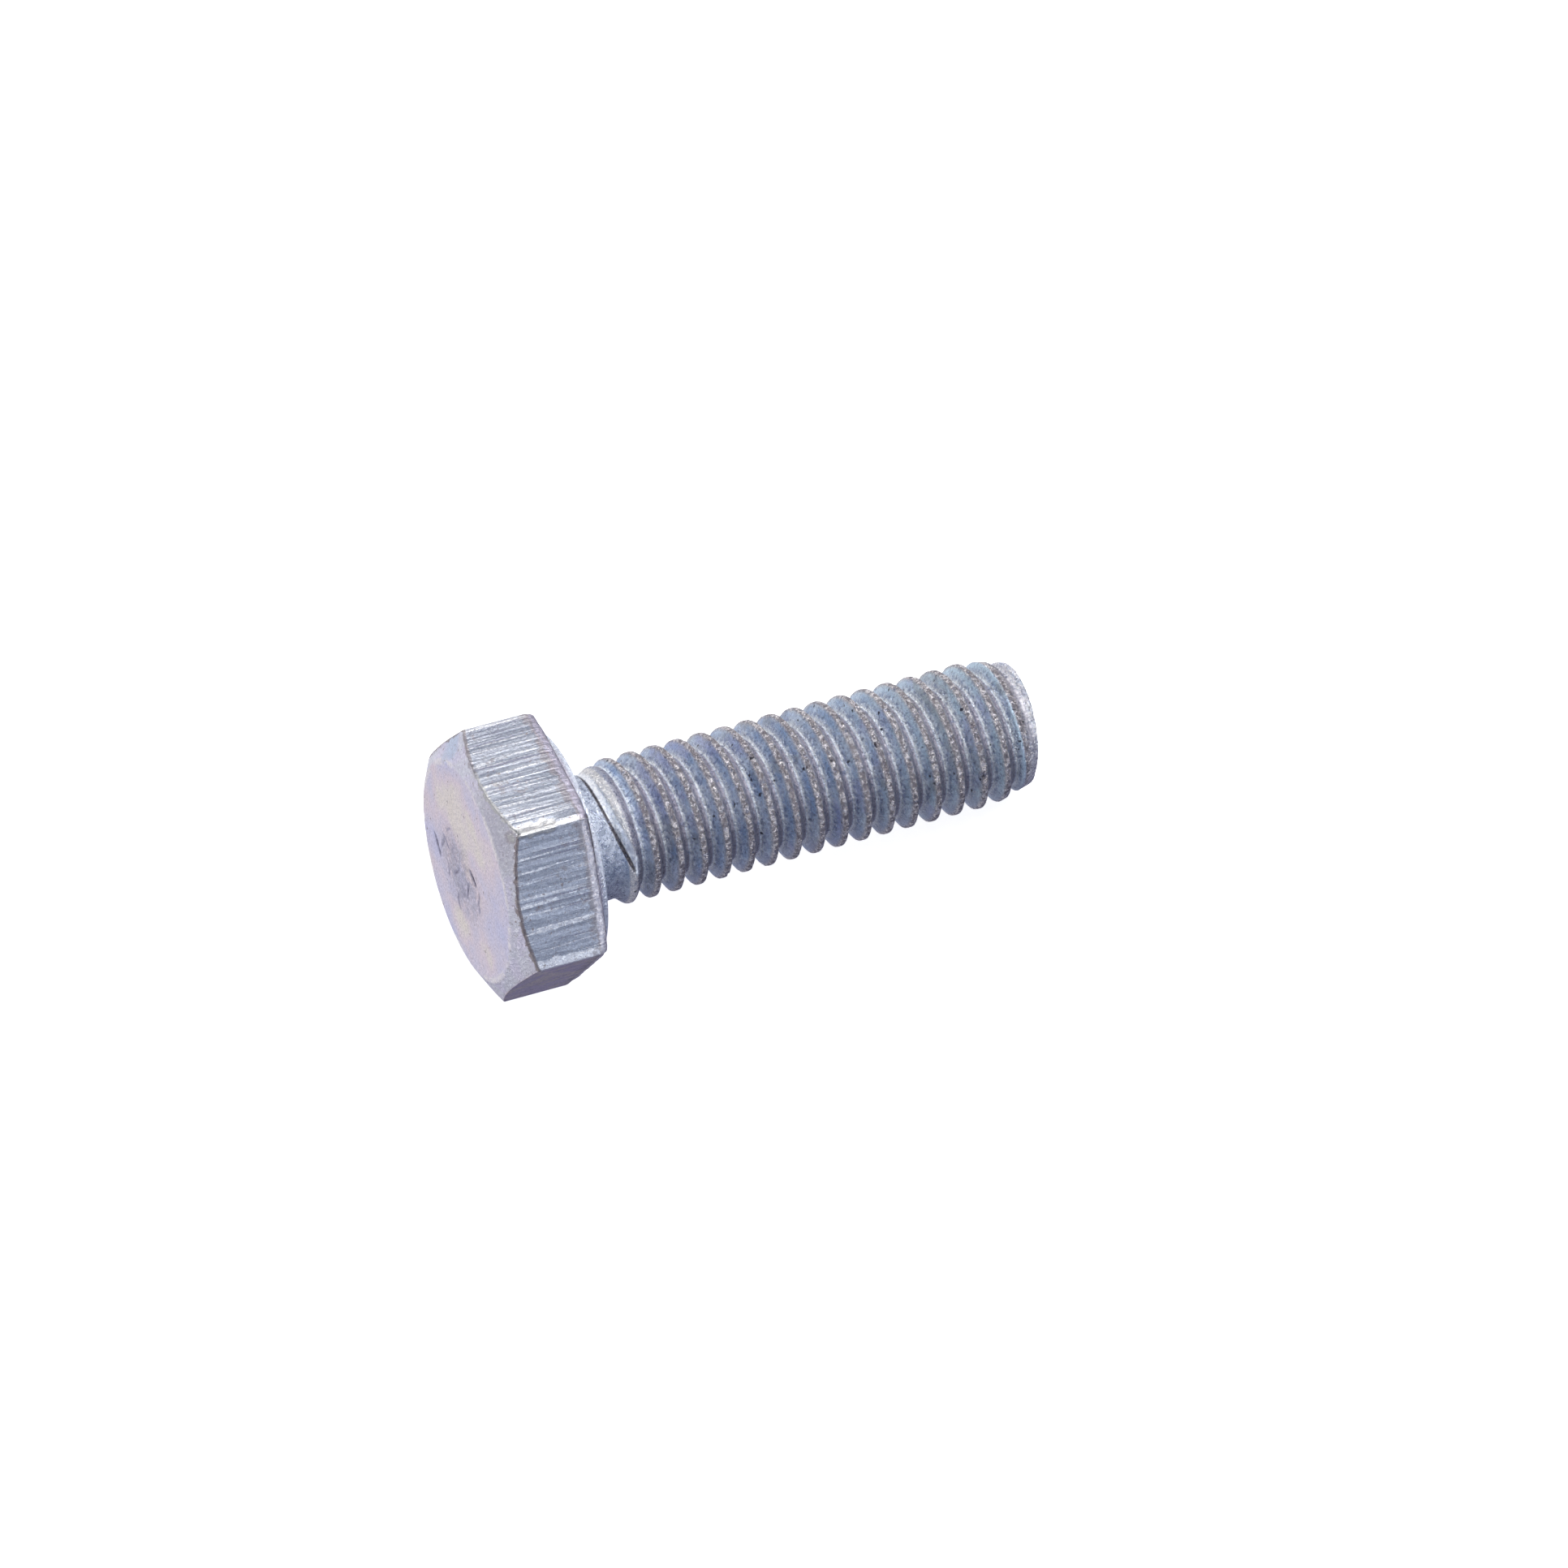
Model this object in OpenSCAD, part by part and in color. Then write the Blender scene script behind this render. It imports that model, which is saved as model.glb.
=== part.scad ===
// Hex bolt, threaded up to the head: metric coarse thread, 6 mm nominal diameter, 20 mm nominal length.
//
// A bolt is one forging. It is drawn as the three stretches that a fastener drawing names: the hex head
// with its washer face and under-head fillet, the plain neck, and the threaded shank with its point.
// Each is a solid of its own, and neighbours meet face to face on a plane square to the bolt's axis.
//
// Frame: origin at the centre of the bearing face, +X along the axis from the head to the point,
// +Z up with a hexagon flat facing straight down, as the bolt lies on a bench. Millimetres throughout.

/* [Head] */
// Width across the flats of the hexagon, the spanner size
across_flats = 10; // [8:0.05:13]
// Height of the head, from its top face to the bearing face
head_height = 4.1; // [3.4:0.05:5.2]
// How far the edge of the round top face lies in from the flats
crown_margin = 0.5; // [0.1:0.05:1]
// Angle of the chamfer cone on top of the head, measured from the top face
crown_angle = 30; // [15:1:35]
// How far the edge of the round washer face lies in from the flats
washer_margin = 0.3; // [0.1:0.05:0.6]
// Thickness of the washer face under the hexagon
washer_height = 0.35; // [0.15:0.05:0.6]

/* [Neck] */
// Length of the neck, from the bearing face to where the thread begins to rise
neck_length = 1.2; // [0.8:0.05:3]
// Radius of the fillet between the bearing face and the neck
fillet_radius = 0.4; // [0.25:0.05:0.5]

/* [Thread] */
// Length of the bolt, from the bearing face to the end of the point
bolt_length = 19.6; // [8:0.1:40]
// Major diameter, measured over the crests
major_diameter = 5.8; // [4.6:0.05:7.2]
// Pitch, the travel of one turn
pitch = 1; // [0.7:0.05:1.25]
// Angle between the two flanks of a thread groove
flank_angle = 60; // [55:1:60]
// Width of the flat on a crest, as a share of the pitch
crest_share = 0.16; // [0.1:0.01:0.25]
// Width of the flat in a root, as a share of the pitch
root_share = 0.17; // [0.1:0.01:0.25]
// Turns over which the groove deepens from the neck to its full depth
runout_turns = 1; // [0.5:0.25:2]
// Where a crest crosses the underside of the bolt, as a share of the pitch from the bearing face
phase_share = 0.16; // [0:0.01:1]

/* [Point] */
// Length of the tapered point
point_length = 1.65; // [0.5:0.05:2.5]
// Angle of the point's cone, measured from the bolt's axis
point_angle = 15; // [10:1:30]

/* [Fineness] */
// Straight sides that stand for one turn of the thread
thread_sides = 36; // [24:4:48]
// Straight steps that stand for the quarter circle of the fillet
fillet_steps = 6; // [4:1:10]

/* [Hidden] */

// Head
across_corners = across_flats / cos(30);
crown_radius = across_flats / 2 - crown_margin;
washer_radius = across_flats / 2 - washer_margin;

// Thread form: two straight flanks between a flat crest and a flat root
crest_flat = crest_share * pitch;
root_flat = root_share * pitch;
flank_run = (pitch - crest_flat - root_flat) / 2;
thread_depth = flank_run / tan(flank_angle / 2);
major_radius = major_diameter / 2;

// A thread is rolled from a blank of about its pitch diameter, and the neck keeps that size
blank_share = 0.65;
neck_radius = (major_diameter - blank_share * pitch) / 2;

// Thread grid: four edges a turn, which climb one pitch for each turn about the axis
thread_start = neck_length;
thread_end = bolt_length;
runout_length = runout_turns * pitch;
crest_phase = phase_share * pitch;
turn_edges = [-crest_flat / 2, crest_flat / 2, crest_flat / 2 + flank_run, pitch - crest_flat / 2 - flank_run];
edges = len(turn_edges);
first_turn = floor((thread_start - crest_phase) / pitch) - 2;
last_turn = ceil((thread_end - crest_phase) / pitch) + 1;
rows = (last_turn - first_turn + 1) * edges;

// Zinc-plated steel
zinc = [0.70, 0.73, 0.79];

// Radius of the full thread at height z on the meridian at an angle
function full_thread(z, angle) =
    let (along = z - crest_phase - pitch * angle / 360,
         from_crest = abs(along - pitch * round(along / pitch)))
    major_radius - thread_depth * min(1, max(0, (from_crest - crest_flat / 2) / flank_run));

// The same with the run-out beside the neck and the cone of the point
function shank_radius(z, angle) =
    let (grown = min(1, max(0, (z - thread_start) / runout_length)),
         threaded = neck_radius + grown * (full_thread(z, angle) - neck_radius),
         point_cone = major_radius - max(0, z - thread_end + point_length) * tan(point_angle))
    min(threaded, point_cone);

// Height of a grid row on a column, before it is held within the shank
function free_height(column, row) =
    let (turn = first_turn + floor(row / edges))
    crest_phase + pitch * (turn + column / thread_sides) + turn_edges[row % edges];

function held_height(column, row) = min(thread_end, max(thread_start, free_height(column, row)));

// Rows past an end of the shank fold into the one row that closes it
function lowest_row(column) = max([for (row = [0 : rows - 1]) if (free_height(column, row) <= thread_start) row]);
function highest_row(column) = min([for (row = [0 : rows - 1]) if (free_height(column, row) >= thread_end) row]);

// A ring profile's points, (radius, height), along the fillet from the bearing face to the neck
function fillet_points() = [
    for (step = [0 : fillet_steps])
        let (turn = 90 * step / fillet_steps)
        [neck_radius + fillet_radius * (1 - sin(turn)), fillet_radius * (1 - cos(turn))]
];

// Shapes below stand on the origin along +Z. This lays them down along +X, with local +X facing down.
module lay_down() {
    rotate([0, 90, 0]) children();
}

// Hexagonal prism with a flat facing local +X
module hexagon_bar(bottom, top) {
    translate([0, 0, bottom])
        rotate([0, 0, 30])
            cylinder(h = top - bottom, d = across_corners, $fn = 6);
}

// Head: hexagon with a coned crown, a round washer face under it and the fillet that leads into the neck.
// The ring that makes the washer face starts inside the hexagon, so that the two fuse into one solid.
module hex_head() {
    wide = across_corners;
    color(zinc) lay_down() union() {
        intersection() {
            hexagon_bar(-head_height, -washer_height);
            rotate_extrude($fn = 96)
                polygon([
                    [0, -head_height],
                    [crown_radius, -head_height],
                    [crown_radius + wide, -head_height + wide * tan(crown_angle)],
                    [crown_radius + wide, 0],
                    [0, 0]
                ]);
        }
        rotate_extrude($fn = 96)
            polygon(concat(
                [[0, -head_height / 2], [washer_radius, -head_height / 2], [washer_radius, 0]],
                fillet_points(),
                [[0, fillet_radius]]
            ));
    }
}

// Neck: the plain stretch of blank between the fillet and the thread
module plain_neck() {
    color(zinc) lay_down()
        translate([0, 0, fillet_radius])
            cylinder(h = neck_length - fillet_radius, r = neck_radius, $fn = 96);
}

// Shank: one closed skin on a grid that follows the helix, so every crest and root is a true spiral
module threaded_shank() {
    low = [for (column = [0 : thread_sides - 1]) lowest_row(column)];
    high = [for (column = [0 : thread_sides - 1]) highest_row(column)];
    points = [
        for (column = [0 : thread_sides - 1], row = [0 : rows - 1])
            let (angle = 360 * column / thread_sides,
                 z = held_height(column, row),
                 r = shank_radius(z, angle))
            [r * cos(angle), r * sin(angle), z]
    ];
    // The column after the last is the first one, a whole turn further up
    function corner(column, row) =
        let (c = column % thread_sides,
             shifted = column < thread_sides ? row : row + edges)
        c * rows + min(high[c], max(low[c], shifted));
    skin = [
        for (column = [0 : thread_sides - 1], row = [0 : rows - edges - 2])
            let (a = corner(column, row), b = corner(column + 1, row),
                 c = corner(column + 1, row + 1), d = corner(column, row + 1))
            each [
                if (a != b && b != c && c != a) [c, b, a],
                if (a != c && c != d && d != a) [d, c, a]
            ]
    ];
    neck_end = [for (column = [0 : thread_sides - 1]) corner(column, 0)];
    tip_end = [for (column = [thread_sides - 1 : -1 : 0]) corner(column, rows - 1)];
    color(zinc) lay_down()
        polyhedron(points = points, faces = concat(skin, [neck_end, tip_end]), convexity = 10);
}

hex_head();
plain_neck();
threaded_shank();
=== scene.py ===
# %% [markdown]
# # A zinc-plated hex bolt
#
# A hex bolt starts as a length of steel wire. A header presses one end into a round head, a die trims that
# head to a hexagon, two flat dies roll the thread into the shank, and a zinc bath covers everything with a
# thin bluish layer. Every one of those steps leaves marks, and the marks are what make a bolt look real.
#
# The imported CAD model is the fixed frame. It gives every size and place, and the pieces that are made here
# stand exactly where its nodes are.

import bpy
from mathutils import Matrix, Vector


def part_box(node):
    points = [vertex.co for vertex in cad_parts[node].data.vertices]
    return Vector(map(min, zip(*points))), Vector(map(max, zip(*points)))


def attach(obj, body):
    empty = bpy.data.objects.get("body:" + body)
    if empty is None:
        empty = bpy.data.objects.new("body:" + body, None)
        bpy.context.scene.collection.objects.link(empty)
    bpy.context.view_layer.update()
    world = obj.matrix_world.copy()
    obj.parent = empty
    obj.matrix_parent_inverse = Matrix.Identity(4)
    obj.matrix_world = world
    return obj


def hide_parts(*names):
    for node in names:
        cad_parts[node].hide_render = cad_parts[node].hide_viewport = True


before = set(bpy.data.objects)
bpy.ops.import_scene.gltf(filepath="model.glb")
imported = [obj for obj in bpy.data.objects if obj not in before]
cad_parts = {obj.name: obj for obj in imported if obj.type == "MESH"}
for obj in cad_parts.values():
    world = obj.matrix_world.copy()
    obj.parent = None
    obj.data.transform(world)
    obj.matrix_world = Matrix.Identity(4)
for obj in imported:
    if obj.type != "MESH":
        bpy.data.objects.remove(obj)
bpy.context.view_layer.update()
print("CAD nodes:", sorted(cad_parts))

# %% [markdown]
# ## Sizes
#
# Small hardware is easier to think about in millimetres, so shapes are worked out in millimetres and only
# become metres when a mesh is made. The boxes of the CAD nodes give the driving sizes. The few sizes that a
# box can't give, such as how wide the round washer face is, are repeated from the drawing by name.

# %% Sizes from the frame
import math
from types import SimpleNamespace

import bpy
import numpy as np
from mathutils import Matrix, Vector, noise

MM = 1000.0


def box_mm(node):
    low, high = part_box(node)
    return np.array(low) * MM, np.array(high) * MM


head_low, head_high = box_mm("hex_head")
neck_low, neck_high = box_mm("plain_neck")
_, shank_high = box_mm("threaded_shank")

CROWN_X = head_low[0]
FLAT_REACH = head_high[2]
NECK_START_X = neck_low[0]
TIP_X = shank_high[0]
NECK_RADIUS = neck_high[2]
CREST_RADIUS = shank_high[2]
print(f"head {head_high - head_low} mm, neck radius {NECK_RADIUS:.3f} mm, crest radius {CREST_RADIUS:.3f} mm")

# %% [markdown]
# ## Camera
#
# A small part is best seen through a long lens from well back, so that its near end and its far end come
# out at almost the same scale. The camera is placed by three angles, azimuth, elevation and a slight roll,
# and it looks past the bolt's origin, a little to the right of it and above. It comes first, because the
# lights are chosen for what each face of the metal mirrors towards it.

# %% Camera
AZIMUTH = math.radians(-27.2)
ELEVATION = math.radians(48.2)
ROLL = math.radians(5.9)
SENSOR = 36.0
LENS = 350.0
SEEN_WIDTH = 61.6
AIM_RIGHT = 8.69
AIM_UP = 2.40

turned = (
    Matrix.Rotation(AZIMUTH, 3, "Z")
    @ Matrix.Rotation(math.pi / 2 - ELEVATION, 3, "X")
    @ Matrix.Rotation(ROLL, 3, "Z")
)
camera_distance = SEEN_WIDTH * LENS / SENSOR
camera_data = bpy.data.cameras.new("camera")
camera_data.lens = LENS
camera_data.sensor_width = SENSOR
camera_data.clip_start = 0.01
camera_data.clip_end = 10.0
camera = bpy.data.objects.new("camera", camera_data)
camera.location = turned @ Vector((AIM_RIGHT, AIM_UP, camera_distance)) / MM
camera.rotation_euler = turned.to_euler()
bpy.context.scene.collection.objects.link(camera)
bpy.context.scene.camera = camera
print(f"camera {camera_distance:.0f} mm away")

# %% [markdown]
# ## Two helpers for meshes
#
# Both pieces are made the same way: a grid of points is worked out with numpy, each point is pushed in or
# out along the surface's own normal, and the grid becomes a mesh. A modifier with a texture could push the
# points too, but here each mark has its own place and depth, and numbers are easier to control.
#
# `lumps` gives smooth random heights from about -1 to 1. Scaling the place before asking stretches the
# lumps, so the same function makes round grain and long drawn scratches.

# %% Helpers for meshes
def lumps(places, size, octaves=3, seed=0):
    """Fractal noise at each place, in lumps of a size in mm. A size of three numbers stretches them."""
    scaled = places.reshape(-1, 3) / np.array(size) + 31.7 * seed
    heights = [noise.fractal(Vector(place), 1.0, 2.0, octaves) for place in scaled]
    return np.array(heights).reshape(places.shape[:-1])


def smooth(value, low, high):
    """0 below low, 1 above high, and a soft S between."""
    share = np.clip((value - low) / (high - low), 0, 1)
    return share * share * (3 - 2 * share)


def grid_normals(points):
    """Unit normals of a grid of points, rows by columns, that closes round its columns."""
    along = np.gradient(points, axis=0)
    around = np.roll(points, -1, axis=1) - np.roll(points, 1, axis=1)
    normals = np.cross(along, around)
    return normals / np.maximum(np.linalg.norm(normals, axis=2, keepdims=True), 1e-12)


def make_piece(name, points, faces, masks):
    """A smooth mesh object from points in mm, with one float attribute for each mask."""
    mesh = bpy.data.meshes.new(name)
    mesh.from_pydata((points / MM).tolist(), [], faces)
    for mask, values in masks.items():
        attribute = mesh.attributes.new(mask, "FLOAT", "POINT")
        attribute.data.foreach_set("value", values.astype(np.float32).ravel())
    mesh.validate()
    mesh.shade_smooth()
    piece = bpy.data.objects.new(name, mesh)
    bpy.context.scene.collection.objects.link(piece)
    low, high = points.min(0), points.max(0)
    print(f"{name}: {len(mesh.polygons)} faces, {low.round(3)} to {high.round(3)} mm")
    return piece


# %% [markdown]
# ## The outline of the head
#
# Seen along the axis the head is a hexagon with slightly rounded corners. A six-sided cylinder with a bevel
# would give that shape, but its faces would be far too large to carry the marks of the trimming die. So the
# outline is a ring of columns instead: many evenly spaced ones along each flat, and a small arc of them
# round each corner. Every row of the head later uses the same columns.

# %% Outline of the head
SIDES = 6
FLAT_COLUMNS = 118
CORNER_COLUMNS = 7
CORNER_ROUND = 0.13

corner_tangent = CORNER_ROUND * math.tan(math.pi / SIDES)
half_flat = FLAT_REACH * math.tan(math.pi / SIDES) - corner_tangent
corner_centre = (FLAT_REACH - CORNER_ROUND) / math.cos(math.pi / SIDES)
outline = []
for side in range(SIDES):
    facing = math.pi / SIDES + side * 2 * math.pi / SIDES
    outward = np.array([math.cos(facing), math.sin(facing)])
    sideways = np.array([-math.sin(facing), math.cos(facing)])
    for across in np.linspace(-half_flat, half_flat, FLAT_COLUMNS):
        outline.append((*(FLAT_REACH * outward + across * sideways), side, across))
    corner = facing + math.pi / SIDES
    pivot = corner_centre * np.array([math.cos(corner), math.sin(corner)])
    for step in range(1, CORNER_COLUMNS + 1):
        turn = facing + 2 * math.pi / SIDES * step / (CORNER_COLUMNS + 1)
        spot = pivot + CORNER_ROUND * np.array([math.cos(turn), math.sin(turn)])
        outline.append((*spot, side, half_flat + corner_tangent))
outline = np.array(outline)
column_reach = np.hypot(outline[:, 0], outline[:, 1])
column_angle = np.arctan2(outline[:, 1], outline[:, 0])
column_side = outline[:, 2].astype(int)
column_across = outline[:, 3]
print(f"{len(outline)} columns, from {column_reach.min():.3f} to {column_reach.max():.3f} mm off the axis")

# %% [markdown]
# ## The profile of the head
#
# Going from the middle of the crown outwards and down, the surface crosses a flat disc, a soft rim, a 30
# degree chamfer cone, a flat, a rolled-over foot, the underside, the round washer face and the fillet into
# the neck. Each stretch is a few rows of the grid. Where the cone meets a flat, its height depends on how
# far out the column is, and that alone draws the curved arcs that every hex head has.
#
# Each stretch is a function of the column's reach, and `stations` keeps the row's stretch as a number, so
# that marks and colours can be placed by it later.

# %% Profile of the head
CROWN_DISC_RADIUS = 4.5
CROWN_RIM_ROUND = 0.35
CHAMFER = math.radians(30)
EDGE_ROUND = 0.07
UNDERSIDE_X = -0.35
FOOT_HEIGHT = 0.42
FOOT_DEPTH = 0.12
FOOT_CORNER_DEPTH = 0.30
WASHER_RADIUS = 4.7
WASHER_ROUND = 0.06
FILLET = 0.4

print(f"crown disc {2 * CROWN_DISC_RADIUS} mm wide, washer face {2 * WASHER_RADIUS} mm wide")

# %% [markdown]
# A rounded corner leaves its two straight stretches a little before they would meet, and that distance is
# its tangent length. The foot is deeper at the corners, because more metal has to bend there.

# %% Rows of the head
rim_tangent = CROWN_RIM_ROUND * math.tan(CHAMFER / 2)
chamfer_edge_x = CROWN_X + (column_reach - CROWN_DISC_RADIUS) * math.tan(CHAMFER)
edge_tangent = EDGE_ROUND * math.tan((math.pi / 2 - CHAMFER) / 2)
near_corner = smooth(column_reach, FLAT_REACH + 0.30, column_reach.max())
foot_depth = FOOT_DEPTH + (FOOT_CORNER_DEPTH - FOOT_DEPTH) * near_corner
stations = []


def add_row(x, radius, stretch):
    """One ring of the head: its place along the axis, its radius, and the stretch that it belongs to."""
    ones = np.ones(len(outline))
    stations.append((x * ones, radius * ones, stretch * ones))


print(f"foot from {foot_depth.min():.2f} to {foot_depth.max():.2f} mm deep")

# %% [markdown]
# The rows are now laid down in order: first the crown's disc and rim, the cone and its soft edge, and the
# flat. `share` goes from 0 to 1 along a straight stretch, and `turn` is the angle along a rounded one.

# %% Rows from the crown to the flats
for share in np.linspace(0.012, 1, 58) ** 0.9:
    add_row(CROWN_X, share * (CROWN_DISC_RADIUS - rim_tangent), share)
for turn in np.linspace(0, CHAMFER, 6)[1:]:
    rim_x = CROWN_X + CROWN_RIM_ROUND * (1 - math.cos(turn))
    add_row(rim_x, CROWN_DISC_RADIUS - rim_tangent + CROWN_RIM_ROUND * math.sin(turn), 1 + turn)
cone_start = CROWN_DISC_RADIUS + rim_tangent * math.cos(CHAMFER)
cone_end = column_reach - edge_tangent * math.cos(CHAMFER)
for share in np.linspace(0, 1, 9)[1:]:
    cone_radius = cone_start + (cone_end - cone_start) * share
    add_row(CROWN_X + (cone_radius - CROWN_DISC_RADIUS) * math.tan(CHAMFER), cone_radius, 1.6 + 0.3 * share)
for turn in np.linspace(CHAMFER, math.pi / 2, 5)[1:]:
    edge_x = chamfer_edge_x + edge_tangent - EDGE_ROUND * math.cos(turn)
    add_row(edge_x, column_reach - EDGE_ROUND * (1 - math.sin(turn)), 2)
flat_start = chamfer_edge_x + edge_tangent
flat_end = UNDERSIDE_X - FOOT_HEIGHT
for share in np.linspace(0, 1, 22)[1:]:
    add_row(flat_start + (flat_end - flat_start) * share, column_reach, 2 + share)
print(len(stations), "rows down to the end of the flats")

# %% [markdown]
# Then come the foot, the underside, the washer face with its rim, and the fillet that leads into the neck.

# %% Rows from the foot to the neck
for share in np.linspace(0, 1, 9)[1:]:
    turn = share * math.pi / 2
    foot_x = flat_end + FOOT_HEIGHT * math.sin(turn)
    add_row(foot_x, column_reach - foot_depth * (1 - math.cos(turn)), 3 + share)
for share in (0.3, 0.6, 0.9, 1):
    underside = column_reach - foot_depth
    add_row(UNDERSIDE_X, underside + (WASHER_RADIUS - underside) * share, 4 + share)
for turn in np.linspace(0, math.pi / 2, 5):
    rim_x = -WASHER_ROUND + WASHER_ROUND * math.sin(turn)
    add_row(rim_x, WASHER_RADIUS - WASHER_ROUND * (1 - math.cos(turn)), 5.5)
for share in np.linspace(0, 1, 6)[1:]:
    ring = WASHER_RADIUS - WASHER_ROUND + (NECK_RADIUS + FILLET - WASHER_RADIUS + WASHER_ROUND) * share
    add_row(0, ring, 6 + share)
for turn in np.linspace(0, math.pi / 2, 9)[1:]:
    fillet_radius = NECK_RADIUS + FILLET * (1 - math.sin(turn))
    add_row(FILLET * (1 - math.cos(turn)), fillet_radius, 7 + turn)

head_x, head_radius, head_stretch = (np.array(part) for part in zip(*stations))
head_points = np.stack(
    [head_x, head_radius * np.cos(column_angle), head_radius * np.sin(column_angle)], axis=2
)
print(f"{len(stations)} rows by {len(outline)} columns")

# %% [markdown]
# ## Marks on the head
#
# The trimming die scrapes the flats along the axis, which leaves long fine lines. It also drags a ragged
# lip of metal over one corner, and the crown keeps small dents from tumbling against other bolts. All of
# them go inwards, because the drawn sizes are the outside of the metal. Real depth is used here rather than
# a bump texture, so that the marks catch light and break up the edges from every side.

# %% Marks on the head
UPPER_FLAT = 1
NEAR_FLAT = 2
LOW_FLAT = 3

rows, columns = head_x.shape
across = np.tile(column_across, (rows, 1))
side = np.tile(column_side, (rows, 1))
past_edge = head_x - chamfer_edge_x
on_crown = 1 - smooth(head_stretch, 0.98, 1.5)
on_cone = smooth(head_stretch, 1.1, 1.5) * (head_stretch < 2)
on_flat = (head_stretch >= 2) * (head_stretch < 4)
on_foot = smooth(head_stretch, 2.93, 3.2) * (head_stretch < 4)

flat_places = np.stack([head_x, across, side * 40.0], axis=2)
scrape = 0.005 * lumps(flat_places, (14, 0.50, 1), 2, 1)
scrape += 0.009 * lumps(flat_places, (6.0, 0.13, 1), 2, 2)
scrape *= 0.8 + 0.5 * lumps(flat_places, (1.6, 0.9, 1), 2, 3)
scrape *= np.choose(side, [0.8, 1.1, 0.9, 0.7, 0.8, 0.9])
ragged = 0.20 * lumps(flat_places, (0.45, 50, 1), 3, 4)
print("deepest scrape", scrape.min().round(4), "mm")

# %% [markdown]
# The dragged lip runs along the corner between the upper flat and the near one, from the crown to a bit past
# the middle, where it has broken off. On the upper flat the metal rolls over towards the corner, and on the
# near flat it ends in a ragged step.

# %% Dragged lip
LIP_WIDTH = 0.42
LIP_STEP = 0.05
LIP_BREAK_X = -1.75

from_upper_end = half_flat - across
lip_share = 1 - smooth(head_x + 1.2 * ragged, LIP_BREAK_X - 0.12, LIP_BREAK_X + 0.12)
lip_reach = (LIP_WIDTH + 1.5 * ragged) * lip_share + 0.10
lip_roll = on_flat * (side == UPPER_FLAT) * (1 - smooth(from_upper_end, 0.4 * lip_reach, lip_reach))
from_near_start = across + half_flat
lip_end = (0.10 + 0.9 * ragged) * lip_share
lip_cover = on_flat * (side == NEAR_FLAT) * (1 - smooth(from_near_start, lip_end, lip_end + 0.05))
near_drop = on_flat * (side == NEAR_FLAT) * smooth(from_near_start, lip_end, lip_end + 0.05)
lip_depth = 0.08 * lip_roll**2 + LIP_STEP * near_drop * (1 - smooth(from_near_start, 0.5, 2.5))
lip = np.maximum(lip_roll, lip_cover) * (0.15 + 0.85 * lip_share)
print("lip covers", int((lip > 0.5).sum()), "points")

# %% [markdown]
# Dents are a short list: where each one is on the crown, how long and wide it is, which way it points and how
# deep it goes.

# %% Dents in the crown
DENTS = [
    (2.84, -1.38, 0.48, 0.09, 42, 0.100),
    (2.35, -0.85, 0.36, 0.08, 100, 0.045),
    (-0.58, 0.23, 0.36, 0.09, 12, 0.095),
    (-1.38, -0.45, 0.60, 0.08, 80, 0.035),
    (2.10, -0.45, 0.45, 0.07, 15, 0.034),
    (1.60, -1.60, 0.40, 0.07, 75, 0.034),
    (0.90, -1.00, 0.50, 0.08, 120, 0.036),
    (0.40, -2.30, 0.45, 0.07, 60, 0.032),
    (-0.30, -0.90, 0.50, 0.07, 95, 0.036),
    (1.90, 0.40, 0.35, 0.06, 140, 0.028),
    (1.50, -0.30, 0.55, 0.26, 20, 0.018),
    (0.20, -1.45, 0.60, 0.30, 110, 0.018),
    (-1.70, 1.90, 0.20, 0.05, 15, 0.020),
    (0.90, -3.10, 0.16, 0.10, 0, 0.018),
    (2.20, 2.60, 0.22, 0.06, 100, 0.016),
]

crown_y, crown_z = head_points[..., 1], head_points[..., 2]
wander = 0.09 * lumps(head_points, 0.45, 3, 15)
dent_depth = np.zeros((rows, columns))
for middle_y, middle_z, long, wide, heading, depth in DENTS:
    lean = math.radians(heading)
    lengthwise = (crown_y - middle_y) * math.cos(lean) + (crown_z - middle_z) * math.sin(lean) + wander
    crosswise = (crown_z - middle_z) * math.cos(lean) - (crown_y - middle_y) * math.sin(lean) + wander
    dent_depth += depth * np.exp(-((lengthwise / long) ** 4) - (crosswise / wide) ** 2)
dent_depth *= on_crown
worn_middle = on_crown * np.exp(-((((crown_y - 0.5) / 2.0) ** 2 + ((crown_z + 0.8) / 1.6) ** 2) ** 2))
dent_depth += worn_middle * 0.030 * np.maximum(0, lumps(head_points, 0.35, 3, 5))
print(f"{len(DENTS)} dents, deepest {dent_depth.max():.3f} mm")

# %% [markdown]
# Zinc is dipped last, and the film that the dip leaves is a little thicker here and thinner there. Its
# thickness is a number from 0 to 1 at every point: a middling value, a list of broad soft spots that raise
# or lower it, and some drift. The material later turns it into a colour.

# %% Thickness of the film
FILM_SPOTS = [
    (1.9, 2.0, 1.7, 0.32),
    (-1.0, 2.2, 1.4, 0.30),
    (-0.1, -3.1, 1.0, 0.36),
    (0.2, 0.2, 0.9, 0.22),
    (3.0, 4.0, 1.3, -0.50),
    (-2.9, -0.8, 0.8, -0.40),
    (0.6, -4.5, 0.9, -0.32),
    (3.9, -1.8, 1.1, -0.20),
    (-2.2, -3.1, 1.0, 0.08),
    (0.5, -0.6, 1.0, -0.16),
]

film = 0.46 + 0.30 * lumps(head_points, 1.6, 4, 16)
for middle_y, middle_z, width, change in FILM_SPOTS:
    film += change * np.exp(-((crown_y - middle_y) ** 2 + (crown_z - middle_z) ** 2) / width**2)
film = np.clip(film, 0, 1)
print(f"film from {film.min():.2f} to {film.max():.2f}, {film.mean():.2f} on average")

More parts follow.
